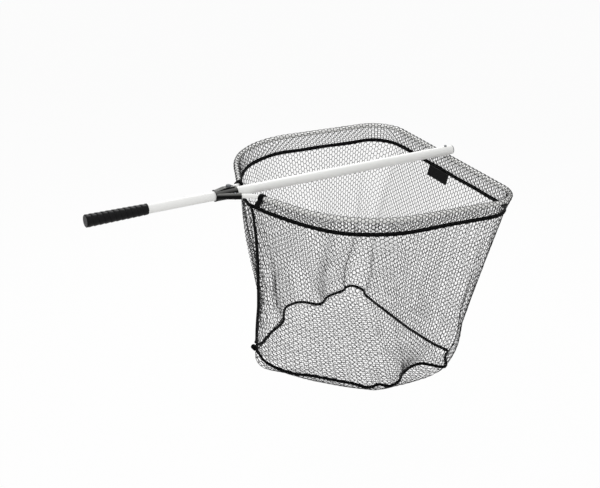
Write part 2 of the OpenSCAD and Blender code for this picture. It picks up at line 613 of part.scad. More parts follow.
module label_tab() {
    top = [rim_far_pt[0], rim_z(rim_far_pt) - rim_h / 2 - sew_gap];
    lean = atan((rim_far_pt[0] - base_far) / (bag_depth + top[1]));
    color([0.06, 0.06, 0.06]) translate([yoke_front + top[0], 0, top[1]]) rotate([0, lean, 0])
        translate([-net_t - sew_gap - label_t, label_side - label_len / 2, -label_drop])
        cube([label_t, label_len, label_drop]);
}
module seam_tab() {
    color([0.05, 0.05, 0.05])
        translate([yoke_front + base_back - bind_t / 2 - sew_gap - tab_d / 2, tab_len / 2,
            base[0][2] + base_h / 2 - tab_d / 2]) rotate([90, 0, 0]) cylinder(d = tab_d, h = tab_len);
}

handle_tube();
grip();
butt_cap();
tip_plug();
snap_spring();
snap_button();
yoke();
lock_insert();
lock_pad();
lock_screw();
lock_knob();
rivet_near();
rivet_far();
hoop();
net_sleeve();
net_side();
net_base();
rim_binding();
base_binding();
back_seam();
sleeve_end_near();
sleeve_end_far();
label_tab();
seam_tab();
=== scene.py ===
import math

import bpy
import numpy as np
from mathutils import Matrix, Vector


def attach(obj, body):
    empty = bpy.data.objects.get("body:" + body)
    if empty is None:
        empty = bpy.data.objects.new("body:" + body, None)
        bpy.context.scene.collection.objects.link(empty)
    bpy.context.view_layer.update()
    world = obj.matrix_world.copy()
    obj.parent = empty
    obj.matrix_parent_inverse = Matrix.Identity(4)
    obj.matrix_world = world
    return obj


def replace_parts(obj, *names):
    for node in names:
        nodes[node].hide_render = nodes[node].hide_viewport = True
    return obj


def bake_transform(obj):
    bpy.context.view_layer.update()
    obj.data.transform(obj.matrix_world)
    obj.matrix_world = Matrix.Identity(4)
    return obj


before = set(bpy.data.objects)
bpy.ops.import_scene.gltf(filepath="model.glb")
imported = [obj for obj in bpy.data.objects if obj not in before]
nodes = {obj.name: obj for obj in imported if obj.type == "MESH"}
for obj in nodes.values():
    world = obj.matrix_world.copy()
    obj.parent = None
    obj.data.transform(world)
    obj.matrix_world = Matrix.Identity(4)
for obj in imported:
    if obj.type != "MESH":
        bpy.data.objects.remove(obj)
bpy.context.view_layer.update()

# Lengths are millimetres in the row frame, and a mesh gets metres when it is made.
MM = 0.001

# Places on the hoop and the bag are measured along the handle from here, 6 mm in front of the yoke.
# Near is the camera's side of the handle, far is the other side, and front is towards the tip.
DATUM = 293.0

# Half of the hoop's middle line seen from above: its corners, the radius at each, its height and its slope.
HOOP_END = (-31, 28 - 25 * math.tan(math.radians(20)))
STUB, SHOULDER, CORNER, FRONT = (22, 38.2), (130, 297), (572, 297), (572, 0)
STUB_R, SHOULDER_R, CORNER_R = 33, 238, 77
HOOP_MID, HOOP_FALL = -1.0, math.tan(math.radians(2.2))

# The rim seam lies inside the hoop and hangs below it, lower under the far shoulder.
RIM_IN = 9.0
RIM_BACK, RIM_SIDE, RIM_SIDE_R = (28, 0), (31 + RIM_IN, 52), 16
SEAM_MID, SEAM_FALL = -3.8, math.tan(math.radians(1.95))
NEAR_DROP, FAR_DROP, FAR_DROP_MORE = 34.5, 35.0, 15.0

# Netting: its thread, and how far a crossing leans, as a share of a column.
THREAD, MESH_LEAN = 1.3, 1 / 6

# The side wall: its columns on the shoulder, side and half front, the far ones in reverse, its rows and cuts.
NEAR_COLUMNS, FAR_COLUMNS = (33, 38, 31), (34, 50, 26)
SIDE_ROWS, SIDE_CUTS = 67, (76, 152)

# The base: its mesh, the level of its middle before it sags, its sag and its middle.
MESH_WIDE, MESH_ROW = 18.0, 6.1
BASE_LEVEL, BASE_SAG = -444.0, 38.0
BASE_MID = np.array([DATUM + 272.0, 0.0])

# The sleeve: where it starts at each arm, how far its ends slant, and its mesh.
NEAR_START, FAR_START = 30.0, 10.0
NEAR_SLANT, FAR_SLANT, SLANT_RUN = 34.0, 30.0, 90
SLEEVE_R, SLEEVE_MESH, SLEEVE_ROWS, FOLD_STEPS = 6.3, 16.0, 17, 400

# Tapes: width and thickness.
RIM_TAPE, BASE_TAPE, BACK_TAPE = (9.0, 5.2), (6.8, 5.6), (11.5, 3.0)
TAIL_TAPE, STRAP = (14.0, 2.6), (13.0, 2.8)

# The label: its ends across the net, its edges below the rim seam, its thickness and its hem.
LABEL_SIDES, LABEL_EDGES, LABEL_T, HEM = (-13, 71), (1.5, 27), 1.0, 2.0

# The grip's band: turns, length, start, and its radius at the butt, at the front and as wound.
TURNS, GRIP_LONG, GRIP_START = 11, 142.0, -71.0
BUTT_R, FRONT_R, WOUND_R = 14.8, 12.7, 14.1

# The snap spring's steel strip.
LEAF_WIDE, LEAF_T, LEAF_STEPS = 7.0, 0.6, 60

# Draws for what is uneven in the netting.
hand = np.random.RandomState(11)


# Finishes.


def linear(code):
    """sRGB hex to the linear colour that a shader takes."""
    part = [int(code[i : i + 2], 16) / 255 for i in (1, 3, 5)]
    return [c / 12.92 if c <= 0.04045 else ((c + 0.055) / 1.055) ** 2.4 for c in part] + [1.0]


def add_node(tree, kind, values=(), links=(), **settings):
    """One node with its settings, socket values and incoming links."""
    node = tree.nodes.new(kind)
    for key, value in settings.items():
        setattr(node, key, value)
    for socket, value in dict(values).items():
        node.inputs[socket].default_value = value
    for socket, source in dict(links).items():
        tree.links.new(source, node.inputs[socket])
    return node


def finish(name, colour, roughness, values=()):
    """A surface with a plain colour, its node tree, its shader and its coordinates."""
    made = bpy.data.materials.new(name)
    made.use_nodes = True
    tree = made.node_tree
    shader = tree.nodes["Principled BSDF"]
    shader.inputs["Base Color"].default_value = linear(colour)
    shader.inputs["Roughness"].default_value = roughness
    for socket, value in dict(values).items():
        shader.inputs[socket].default_value = value
    return made, tree, shader, add_node(tree, "ShaderNodeTexCoord")


def noise(tree, place, size, detail):
    """Noise with spots of a size in millimetres, on coordinates in metres."""
    values = {"Scale": 1 / (size * MM), "Detail": detail}
    return add_node(tree, "ShaderNodeTexNoise", values, {"Vector": place}).outputs["Fac"]


def bands(tree, place, pitch, direction, distortion, detail):
    """Even bands a pitch apart, on UV coordinates in millimetres."""
    wave_long = math.pi / 10
    values = {"Scale": wave_long / pitch, "Distortion": distortion, "Detail": detail}
    settings = {"wave_type": "BANDS", "bands_direction": direction}
    return add_node(tree, "ShaderNodeTexWave", values, {"Vector": place}, **settings).outputs["Fac"]


def stretched(tree, place, scale):
    """Coordinates scaled differently along each axis."""
    return add_node(tree, "ShaderNodeMapping", {"Scale": scale}, {"Vector": place}).outputs["Vector"]


def relief(tree, shader, height, strength, depth):
    """A pattern as fine relief of a depth in millimetres."""
    values = {"Strength": strength, "Distance": depth * MM}
    bump = add_node(tree, "ShaderNodeBump", values, {"Height": height})
    tree.links.new(bump.outputs["Normal"], shader.inputs["Normal"])


def two_tone(tree, shader, share, dark, light, start=0.0, end=1.0):
    """A colour that goes from dark to light as the share goes from start to end."""
    shade = add_node(tree, "ShaderNodeValToRGB", (), {"Fac": share})
    for element, position, code in zip(shade.color_ramp.elements, (start, end), (dark, light)):
        element.position = position
        element.color = linear(code)
    tree.links.new(shade.outputs["Color"], shader.inputs["Base Color"])


def white_powder_coat():
    """White powder coat on drawn aluminium: satin, with a very fine orange peel."""
    made, tree, shader, place = finish("white_powder_coat", "#f3f3f1", 0.36, {"IOR": 1.5})
    relief(tree, shader, noise(tree, place.outputs["Object"], 1.6, 2.0), 0.25, 0.05)
    return made


def moulded_black_nylon():
    """Black glass-filled nylon, moulded in a spark-eroded tool, with painted highlight: grey on the faces
    turned up, standing in for the overhead light.
    """
    values = {"IOR": 1.53, "Specular IOR Level": 0.06}
    made, tree, shader, place = finish("moulded_black_nylon", "#060607", 0.32, values)
    # Painted highlight: the colour goes from black to grey as a face turns upward, in place of the light from
    # above.
    facing_up_highlight = add_node(tree, "ShaderNodeSeparateXYZ", (), {"Vector": place.outputs["Normal"]})
    two_tone(tree, shader, facing_up_highlight.outputs["Z"], "#040404", "#747472", 0.42, 0.92)
    relief(tree, shader, noise(tree, place.outputs["Object"], 0.9, 3.0), 0.3, 0.12)
    return made


def wound_grip_rubber():
    """Wound rubber tape: matt black, with long drawn streaks that catch the light on each turn."""
    values = {"IOR": 1.5, "Specular IOR Level": 0.12}
    made, tree, shader, place = finish("wound_grip_rubber", "#0d0d0e", 0.34, values)
    streak = noise(tree, stretched(tree, place.outputs["Object"], (1.0, 0.22, 0.22)), 1.4, 4.0)
    two_tone(tree, shader, streak, "#060607", "#121213", 0.35, 0.68)
    relief(tree, shader, streak, 0.5, 0.15)
    return made


def woven_binding_tape():
    """Woven polyester binding tape: dull black ribs across it, drawn coarse enough to show."""
    made, tree, shader, place = finish("woven_binding_tape", "#060607", 0.85, {"Specular IOR Level": 0.05})
    ribs = bands(tree, place.outputs["UV"], 1.7593, "X", 0.6, 1.0)
    two_tone(tree, shader, ribs, "#020203", "#080809")
    relief(tree, shader, ribs, 0.5, 0.15)
    return made


def knotless_netting_thread():
    """Knotless polyester netting: fine dull threads, a little uneven in colour."""
    made, tree, shader, place = finish("knotless_netting_thread", "#161617", 0.7)
    two_tone(tree, shader, noise(tree, place.outputs["Object"], 12.0, 2.0), "#101011", "#1f1f20")
    return made


def polyester_sewing_thread():
    """Polyester sewing thread: black with a slight shine."""
    made, tree, shader, place = finish("polyester_sewing_thread", "#1a1a1c", 0.5)
    two_tone(tree, shader, noise(tree, place.outputs["Object"], 0.8, 1.0), "#141416", "#29292b")
    return made


def satin_label_cloth():
    """Satin-woven label cloth: smoother than the tape, with a soft shine."""
    made, tree, shader, place = finish("satin_label_cloth", "#08080a", 0.6, {"Specular IOR Level": 0.1})
    relief(tree, shader, bands(tree, place.outputs["UV"], 1.508, "Y", 0.4, 2.0), 0.35, 0.08)
    return made


def moulded_grey_polypropylene():
    """Grey polypropylene, moulded smooth."""
    made, tree, shader, place = finish("moulded_grey_polypropylene", "#5a5c5f", 0.45, {"IOR": 1.49})
    relief(tree, shader, noise(tree, place.outputs["Object"], 1.1, 2.0), 0.2, 0.06)
    return made


def brushed(name, colour, roughness):
    """Bare metal with a fine brushing along the handle."""
    made, tree, shader, place = finish(name, colour, roughness, {"Metallic": 1.0})
    lines = noise(tree, stretched(tree, place.outputs["Object"], (0.1, 1.0, 1.0)), 0.5, 2.0)
    relief(tree, shader, lines, 0.15, 0.03)
    return made


white_coat = white_powder_coat()
moulded = moulded_black_nylon()
wrap_rubber = wound_grip_rubber()
tape_weave = woven_binding_tape()
twine = knotless_netting_thread()
sewing = polyester_sewing_thread()
label_cloth = satin_label_cloth()
grey_moulding = moulded_grey_polypropylene()
# Tumbled steel of the snap button, its spring and the lock screw: grey, fairly dull.
steel = brushed("tumbled_spring_steel", "#6b6d70", 0.42)
# Turned brass of the screw's insert: warm, bright in the cuts.
brass = brushed("turned_brass", "#c9a65c", 0.28)
# Plain aluminium of the rivets: grey and soft.
alloy = brushed("plain_rivet_aluminium", "#6d6f72", 0.5)


# Lines of the hoop, the rim seam and the base seam.


def unit(v):
    return v / np.linalg.norm(v, axis=-1, keepdims=True)


def bell(x, mid, wide):
    """1 at mid, falling to 0 on both sides."""
    return np.exp(-(((x - mid) / wide) ** 2))


def swell(k, start, end, skew):
    """0 outside a stretch and up to 1 inside it, nearer its start where the skew is under 1."""
    return np.sin(np.pi * np.clip((k - start) / (end - start), 0, 1) ** skew)


def bend(a, b, c, r, n, k0=0.0, k1=1.0):
    """Points along the bend of radius r that rounds corner b, from share k0 to share k1 of it."""
    a, b, c = (np.array(p, float) for p in (a, b, c))
    u, w = unit(a - b), unit(c - b)
    half = math.acos(float(u @ w)) / 2
    o = b + unit(u + w) * r / math.sin(half)
    s, e = b + u * r / math.tan(half) - o, b + w * r / math.tan(half) - o
    turn = math.atan2(s[0] * e[1] - s[1] * e[0], float(s @ e))
    q = math.atan2(s[1], s[0]) + turn * np.linspace(k0, k1, n + 1)
    return o + r * np.stack([np.cos(q), np.sin(q)], 1)


def lengths(p):
    """Length along a line of points, at each point."""
    return np.concatenate([[0.0], np.cumsum(np.linalg.norm(np.diff(p, axis=0), axis=1))])


def closed_up(p):
    """A loop's points with the first one again at the end."""
    return np.vstack([p, p[:1]])


def at_length(p, run, at):
    """Points at lengths along a line of points whose own lengths are run."""
    return np.stack([np.interp(at, run, p[:, k]) for k in range(p.shape[1])], 1)


def even(p, n, last=False):
    """n even steps along a line of points."""
    s = lengths(p)
    return at_length(p, s, np.linspace(0, s[-1], n + 1)[: None if last else -1])


def smooth_loop(p, n):
    """n points on the smooth curve after each point of a closed loop."""
    t = np.linspace(0, 1, n, endpoint=False)[:, None]
    a, b, c, d = (np.roll(p, k, 0)[:, None] for k in (1, 0, -1, -2))
    return 0.5 * (2 * b + (c - a) * t + (2 * a - 5 * b + 4 * c - d) * t**2 + (3 * b - a - 3 * c + d) * t**3)


def level_out(loop):
    """Level outward directions of a loop that runs anticlockwise seen from above."""
    t = np.roll(loop, -1, 0) - np.roll(loop, 1, 0)
    t[:, 2] = 0
    t = unit(t)
    return np.column_stack([t[:, 1], -t[:, 0], np.zeros(len(t))])


rim_shoulder = (SHOULDER[0] + 0.4 * RIM_IN, SHOULDER[1] - RIM_IN)
rim_corner = (CORNER[0] - RIM_IN, CORNER[1] - RIM_IN)
rim_front = (FRONT[0] - RIM_IN, 0)
first_bend = (RIM_SIDE, rim_shoulder, rim_corner, SHOULDER_R - RIM_IN, 24)
last_bend = (rim_shoulder, rim_corner, rim_front, CORNER_R - RIM_IN, 24)
rim_parts = [
    np.vstack([[RIM_BACK], bend(RIM_BACK, RIM_SIDE, rim_shoulder, RIM_SIDE_R, 6), bend(*first_bend, 0, 0.5)]),
    np.vstack([bend(*first_bend, 0.5, 1), bend(*last_bend, 0, 0.5)]),
    np.vstack([bend(*last_bend, 0.5, 1), [rim_front]]),
]
near_rim = np.vstack([even(p * [1, -1], n) for p, n in zip(rim_parts, NEAR_COLUMNS)])
far_rim = np.vstack([even(p[::-1], n) for p, n in zip(rim_parts[::-1], FAR_COLUMNS)])
far_run = lengths(far_rim[::-1])[::-1]
drop = np.concatenate([np.full(len(near_rim), NEAR_DROP), FAR_DROP + FAR_DROP_MORE * bell(far_run, 120, 80)])
rim = np.vstack([near_rim, far_rim])
rim = np.column_stack([rim, SEAM_MID - rim[:, 0] * SEAM_FALL - drop]) + [DATUM, 0, 0]
COLUMNS = len(rim)
FRONT_MIDDLE = sum(NEAR_COLUMNS)

# The base seam is sewn to a cut that is a little too full, so it swings in and out between its corners.
back_to_near_corner = [
    (41, 0, -401),
    (35, -28, -412),
    (48, -52, -430),
    (86, -98, -441),
    (122, -120, -446),
    (187, -196, -446),
    (212, -232, -446),
    (241, -230, -446),
]
near_side = [
    (258, -248, -447),
    (290, -239, -446),
    (312, -216, -446),
    (345, -196, -446),
    (378, -190, -446),
    (395, -205, -446),
]
near_corner_to_middle = [
    (420, -236, -443),
    (448, -194, -440),
    (466, -176, -440),
    (456, -130, -440),
    (450, -40, -442),
]
middle_to_far_corner = [
    (450, 0, -443),
    (453, 126, -445),
    (456, 192, -446),
    (466, 225, -446),
]
far_side = [
    (455, 258, -446),
    (433, 258, -446),
    (420, 246, -446),
    (368, 236, -448),
    (326, 203, -446),
    (290, 236, -446),
    (256, 228, -441),
]
far_corner_to_back = [
    (228, 209, -437),
    (203, 170, -432),
    (174, 122, -427),
    (114, 68, -416),
    (68, 19, -408),
]
base_parts = (
    back_to_near_corner,
    near_side,
    near_corner_to_middle,
    middle_to_far_corner,
    far_side,
    far_corner_to_back,
)
base_curve = smooth_loop(np.vstack(base_parts).astype(float), 24)
base, first = [], 0
for part, columns in zip(base_parts, NEAR_COLUMNS + FAR_COLUMNS):
    last = first + len(part)
    line = np.vstack([base_curve[first:last].reshape(-1, 3), base_curve[last % len(base_curve)][:1]])
    base.append(even(line, columns))
    first = last
base = np.vstack(base) + [DATUM, 0, 0]
rim_out, base_out = level_out(rim), level_out(base)


def side_point(col, v, out=0.0):
    """Point of the bag's side at a column of the loop and a share of the way from rim to base."""
    col, v = np.broadcast_arrays(np.asarray(col, float) % COLUMNS, np.asarray(v, float))
    i = np.floor(col).astype(int) % COLUMNS
    f, j = (col - np.floor(col))[..., None], (i + 1) % COLUMNS
    w = v[..., None]

    def between(upper, lower):
        return (upper[i] * (1 - f) + upper[j] * f) * (1 - w) + (lower[i] * (1 - f) + lower[j] * f) * w

    k = np.clip(v, 0, 1)
    turn = 2 * np.pi * col / COLUMNS
    from_back = np.minimum(col, COLUMNS - col)
    at_back, at_seam, at_corner = bell(from_back, 0, 5.0), bell(from_back, 0, 1.5), bell(col, 80, 15)
    # The wall draws in at its waist, most at the back seam, and swells just above the base.
    form = -7.0 * (1 - at_back) * (1 - at_corner) * swell(k, 0, 0.86, 1.3) ** 1.5
    form = form - 14.0 * at_back * swell(k, 0, 0.985, 0.8) ** 0.5
    form = form + (6.0 + 3.0 * at_corner) * swell(k, 0.72, 1, 1.3) ** 0.8 * (1 - 0.6 * at_seam)
    # Slack netting stands out in pleats beside the back seam, on the far side.
    pleats = 14.5 + 7.0 * np.sin(2.1 * (col - COLUMNS))
    form = form + pleats * bell(col, COLUMNS - 10, 8.0) * swell(k, 0, 0.95, 0.9)
    folds = 2.0 * np.sin(9 * turn + 0.8) * k**1.4 + 1.1 * np.sin(17 * turn + 2.1) * k * (1 - 0.4 * k)
    form = form + folds * swell(k, 0, 0.94, 1) ** 0.5
    return between(rim, base) + unit(between(rim_out, base_out)) * (form + out)[..., None]


# Makers of pieces.


def place_piece(name, verts, faces, skin, slot):
    """A mesh in millimetres as a finished piece of the head."""
    data = bpy.data.meshes.new(name)
    data.from_pydata((np.asarray(verts, float) * MM).tolist(), [], [list(f) for f in faces])
    data.materials.append(skin)
    data.shade_smooth()
    piece = bpy.data.objects.new(name, data)
    bpy.context.scene.collection.objects.link(piece)
    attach(piece, "head")
    return piece


def pick(piece):
    """Make a piece the only one that is selected."""
    bpy.ops.object.select_all(action="DESELECT")
    bpy.context.view_layer.objects.active = piece
    piece.select_set(True)


def face_out(piece):
    """Turn all faces of a closed piece outward."""
    pick(piece)
    bpy.ops.object.mode_set(mode="EDIT")
    bpy.ops.mesh.select_all(action="SELECT")
    bpy.ops.mesh.normals_make_consistent(inside=False)
    bpy.ops.object.mode_set(mode="OBJECT")


def thicken(piece, thickness):
    """Give a sheet its thickness, half to each side."""
    pick(piece)
    shell = piece.modifiers.new("thickness", "SOLIDIFY")
    shell.thickness = thickness * MM
    shell.offset = 0.0
    bpy.ops.object.modifier_apply(modifier=shell.name)


def mark_uv(piece, name, marks):
    """UV coordinates in millimetres for each corner of each face."""
    area = piece.data.uv_layers.new(name=name)
    area.data.foreach_set("uv", np.array(marks, float).ravel())


def threads(a, b, d):
    """Closed three-sided threads between the points a and b, about as wide as round ones of diameter d."""
    lap, reach = 0.3 * d, 0.58 * d
    t = unit(b - a)
    u = unit(np.cross(t, np.array([0.31, 0.23, 0.92])))
    w = np.cross(t, u)
    a, b = a - t * lap, b + t * lap
    ring = [reach * (u * math.cos(q) + w * math.sin(q)) for q in 0.3 + 2 * math.pi / 3 * np.arange(3)]
    verts = np.stack([a + x for x in ring] + [b + x for x in ring], 1).reshape(-1, 3)
    first = 6 * np.arange(len(a))[:, None]
    quads = np.vstack([first + q for q in ([0, 1, 4, 3], [1, 2, 5, 4], [2, 0, 3, 5])])
    ends = np.vstack([first + q for q in ([2, 1, 0], [3, 4, 5])])
    return verts, quads.tolist() + ends.tolist()


def lean(k, j):
    """Sideways lean of each crossing, in columns: down a thread it goes left and right in turn."""
    return MESH_LEAN * np.where((k + j) % 2 == 0, 1, -1)


def net_lines(g, last_thread=True):
    """Ends of the threads of a hexagon net whose crossings are the grid g: rows first, then columns."""
    down = g if last_thread else g[:, :-1]
    k, j = np.indices((g.shape[0], g.shape[1] - 1))
    bar = (k + j) % 2 == 0
    a = np.vstack([down[:-1].reshape(-1, 3), g[:, :-1][bar]])
    b = np.vstack([down[1:].reshape(-1, 3), g[:, 1:][bar]])
    return a, b


def netting(name, a, b):
    """A piece of netting from the ends of its threads."""
    return place_piece(name, *threads(a, b, THREAD), twine, "netting")


def uneven(shape, size):
    return hand.uniform(-size, size, shape)


def round_section(wide, thick):
    """Rounded rectangle as pairs: through the tape, then across its width."""
    r = min(wide, thick) * 0.42
    made = []
    for sx, sy, start in ((1, 1, 0), (-1, 1, 90), (-1, -1, 180), (1, -1, 270)):
        for q in np.radians(start + np.array([0, 30, 60, 90])):
            made.append((sx * (thick / 2 - r) + r * math.cos(q), sy * (wide / 2 - r) + r * math.sin(q)))
    return np.array(made)


def tape(name, path, up, out, size, closed=True, pucker=0.12):
    """Woven tape swept along a path: up runs across its width and out through it."""
    sec = round_section(*size)
    n, k = len(path), len(sec)
    s, round_s = lengths(closed_up(path)), lengths(closed_up(sec))
    gather = np.sin(2 * np.pi * s[:-1] / 7.3) + 0.6 * np.sin(2 * np.pi * s[:-1] / 23.0 + 1.0)
    gather = 1 + pucker * gather[:, None]
    grid = path[:, None] + out[:, None] * (sec[:, 0] * gather)[..., None]
    grid = grid + up[:, None] * (sec[:, 1] * (2 - gather) ** 0.5)[..., None]
    faces, marks = [], []
    for i in range(n if closed else n - 1):
        i1 = (i + 1) % n
        for j in range(k):
            j1 = (j + 1) % k
            faces.append((i * k + j, i * k + j1, i1 * k + j1, i1 * k + j))
            marks += [(s[i], round_s[j]), (s[i], round_s[j + 1])]
            marks += [(s[i + 1], round_s[j + 1]), (s[i + 1], round_s[j])]
    if not closed:
        faces += [tuple(range(k))[::-1], tuple((n - 1) * k + j for j in range(k))]
        marks += [(0.0, 0.0)] * (2 * k)
    piece = place_piece(name, grid.reshape(-1, 3), faces, tape_weave, "binding")
    mark_uv(piece, "tape", marks)
    face_out(piece)
    return piece


def stitch_ends(path, out, gap, pitch=4.2, long=3.0):
    """Ends of the stitches of a sewn line that lies gap off the tape's middle."""
    s = lengths(path)
    start = np.arange(pitch * 0.3, s[-1] - long, pitch)
    return [at_length(path, s, at) + at_length(out, s, at) * gap for at in (start, start + long)]


# The bag's side, in three lengths of netting.

k, j = np.indices((SIDE_ROWS + 1, COLUMNS + 1))
crossings = side_point(j + lean(k, j), k / SIDE_ROWS)
loose = uneven((SIDE_ROWS + 1, COLUMNS, 3), 0.3)
crossings = crossings + loose[:, np.arange(COLUMNS + 1) % COLUMNS]
sides = []
for part, first, last in zip(("near", "front", "rear"), (0,) + SIDE_CUTS, SIDE_CUTS + (COLUMNS,)):
    lines = net_lines(crossings[:, first : last + 1], last_thread=False)
    sides.append(netting("netting_side_" + part, *lines))
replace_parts(sides[0], "net_side")


# The bag's base: netting that sags away from its seam.


def round_base(loop):
    """Angles about the base's middle, in order, with the reach of a loop at each and the order."""
    arm = loop[:, :2] - BASE_MID
    angle = np.arctan2(arm[:, 1], arm[:, 0])
    order = np.argsort(angle)
    return angle[order], np.linalg.norm(arm, axis=1)[order], order


skirt_near = [(14, 0), (60, -86), (200, -224), (262, -252), (425, -238)]
skirt_far = [(470, -180), (462, 0), (474, 225), (440, 262), (250, 240)]
skirt = smooth_loop(np.array(skirt_near + skirt_far, float), 40).reshape(-1, 2) + [DATUM, 0]
seam_angle, seam_reach, order = round_base(base)
seam_level = base[order, 2]
skirt_angle, skirt_reach, order = round_base(skirt)


def base_point(q):
    """Points of the hung base panel for points q of its flat cut, and their share of the way to its edge."""
    d = q - BASE_MID
    angle, reach = np.arctan2(d[:, 1], d[:, 0]), np.linalg.norm(d, axis=1)
    edge = np.interp(angle, seam_angle, seam_reach, period=2 * np.pi)
    cut = np.interp(angle, skirt_angle, skirt_reach, period=2 * np.pi)
    raw = reach / cut
    share = np.minimum(raw, 1.0)
    free = np.clip((1 - share) / 0.1, 0, 1)
    free = free * free * (3 - 2 * free)
    out = share * (edge + (cut - edge) * free)
    level = np.interp(angle, seam_angle, seam_level, period=2 * np.pi)
    fullness = 7.0 + 4.0 * np.cos(angle)
    z = level * share**3 + BASE_LEVEL * (1 - share**3) - BASE_SAG * (1 - share**fullness)
    z = z + 8.0 * np.sin(7 * angle + 0.4) * share**2 * (1 - share)
    return np.column_stack([BASE_MID + d / np.maximum(reach, 1e-6)[:, None] * out[:, None], z]), raw


across, along = int(2 * 270 / MESH_ROW), int(2 * 480 / MESH_WIDE)
k, j = np.indices((across + 1, along + 1))
flat_x = DATUM + 10 + MESH_WIDE / 2 * (j + lean(k, j)) + uneven(k.shape, 0.3)
flat_y = -270 + MESH_ROW * k + uneven(k.shape, 0.3)
a, b = net_lines(np.dstack([flat_x, flat_y, np.zeros_like(flat_x)]))
(a, share_a), (b, share_b) = base_point(a[:, :2]), base_point(b[:, :2])
kept = (np.minimum(share_a, share_b) < 1) & (np.linalg.norm(b - a, axis=1) > 0.3)
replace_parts(netting("netting_base", a[kept], b[kept]), "net_base")

# The sleeve: netting folded over the hoop, both edges caught in the rim binding.

arm_half = np.vstack(
    [
        bend(HOOP_END, STUB, SHOULDER, STUB_R, 12),
        bend(STUB, SHOULDER, CORNER, SHOULDER_R, 24),
        bend(SHOULDER, CORNER, FRONT, CORNER_R, 24),
        [FRONT],
    ]
)
arm = even(np.vstack([arm_half * [1, -1], arm_half[::-1][1:]]), 2000, last=True)
arm_run = lengths(arm)
rim_fine = even(closed_up(rim), 4000, last=True)
rim_run = lengths(rim_fine)
sleeve_long = arm_run[-1] - NEAR_START - FAR_START
sleeve_end = NEAR_START + sleeve_long


def hoop_at(run):
    """Points of the hoop's middle line at lengths along it, with the level way on and the level way out."""
    xy = at_length(arm, arm_run, run)
    on = unit(at_length(arm, arm_run, run + 2) - at_length(arm, arm_run, run - 2))
    mid = np.column_stack([xy[:, 0] + DATUM, xy[:, 1], HOOP_MID - xy[:, 0] * HOOP_FALL])
    flat = np.zeros(len(mid))
    return mid, np.column_stack([on, flat]), np.column_stack([on[:, 1], -on[:, 0], flat])


def rim_under(mid, out, run):
    """Points of the rim seam under the hoop. It has crept round a little, so the sleeve's ends slant."""
    slant = -NEAR_SLANT * np.clip(1 - (run - NEAR_START) / SLANT_RUN, 0, 1)
    slant = slant - FAR_SLANT * np.clip((run - sleeve_end + SLANT_RUN) / SLANT_RUN, 0, 1)
    want = mid[:, :2] - RIM_IN * out[:, :2]
    gap = np.linalg.norm(rim_fine[None, :, :2] - want[:, None], axis=2)
    return at_length(rim_fine, rim_run, rim_run[np.argmin(gap, 1)] + slant)


def fold_over(mid, out, foot, r, spread, n):
    """Even points from the seam up the outer side, over the hoop and down the inner side to the seam."""
    q = np.radians(np.arange(-16, 197, 6))
    made = []
    for m, w, f in zip(mid, out, foot):
        over = m + r * (np.cos(q)[:, None] * w + np.sin(q)[:, None] * [0, 0, 1])
        made.append(even(np.vstack([[f + spread * w], over, [f - spread * w]]), n, last=True))
    return np.array(made)


# The netting is gathered under the straps and a little closer on the near arm.
steps = 2 * int(sleeve_long / SLEEVE_MESH)
from_end = sleeve_long / 2 - np.abs(np.linspace(-sleeve_long / 2, sleeve_long / 2, steps))
spacing = (1 - 0.6 * bell(from_end, 0, 22)) * np.linspace(0.9, 1.1, steps)
run = np.concatenate([[0.0], np.cumsum(spacing)])
run = NEAR_START + sleeve_long * run / run[-1]
mid, on, out = hoop_at(run)
fold = fold_over(mid, out, rim_under(mid, out, run) + [0, 0, 1.5], SLEEVE_R, 1.0, FOLD_STEPS)
k, j = np.indices((SLEEVE_ROWS + 1, steps + 1))
at = np.clip(j + lean(k, j), 0, steps)
first = np.minimum(np.floor(at).astype(int), steps - 1)
spot = np.round(FOLD_STEPS * k / SLEEVE_ROWS).astype(int)
crossings = fold[first, spot] + (fold[first + 1, spot] - fold[first, spot]) * (at - first)[..., None]
crossings = crossings + uneven(k.shape + (3,), 0.18)
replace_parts(netting("netting_sleeve", *net_lines(crossings)), "net_sleeve")

# Bindings round the rim and the base.

plumb = np.tile([0.0, 0.0, 1.0], (COLUMNS, 1))
wave = 0.5 * np.sin(np.arange(COLUMNS) * 0.37) + 0.4 * np.sin(np.arange(COLUMNS) * 0.11 + 1)
rim_path = rim + plumb * wave[:, None]
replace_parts(tape("rim_binding_tape", rim_path, plumb, rim_out, RIM_TAPE), "rim_binding")
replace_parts(tape("base_binding_tape", base, plumb, base_out, BASE_TAPE, pucker=0.14), "base_binding")

# Back seam, with its tape's end folded outward at the foot.


def flat_tape(name, path, size):
    """Open tape that lies flat along a path in the plane of the handle, with its outward directions."""
    across = np.tile([0.0, 1.0, 0.0], (len(path), 1))
    out = unit(np.cross(across, np.gradient(path, axis=0)))
    return tape(name, path, across, out, size, closed=False), out


back_path = side_point(0.0, np.linspace(0.008, 0.985, 60), 1.6)
back_tape, back_out = flat_tape("back_seam_tape", back_path, BACK_TAPE)
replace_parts(back_tape, "back_seam")
q = np.radians(np.linspace(-60, 250, 30))
tail = base[0] + np.column_stack([-6.5 - 4.6 * np.sin(q), np.zeros(len(q)), -4 + 4.8 * np.cos(q)])
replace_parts(flat_tape("seam_tail", tail, TAIL_TAPE)[0], "seam_tab")

# Straps that close the sleeve's ends round the arms.

for side, place in (("near", NEAR_START + 5.0), ("far", sleeve_end - 5.0)):
    run = np.array([place])
    mid, on, out = hoop_at(run)
    ring = fold_over(mid, out, rim_under(mid, out, run) + [0, 0, 5.0], 8.0, 2.6, 70)[0]
    on = np.tile(on[0], (len(ring), 1))
    face = unit(np.cross(on, np.roll(ring, -1, 0) - np.roll(ring, 1, 0)))
    face = face * np.sign(np.sum(face * (ring - mid[0]), 1))[:, None]
    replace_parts(tape("sleeve_strap_" + side, ring, on, face, STRAP, pucker=0.06), "sleeve_end_" + side)

# The label hangs from the rim binding inside the front of the net.


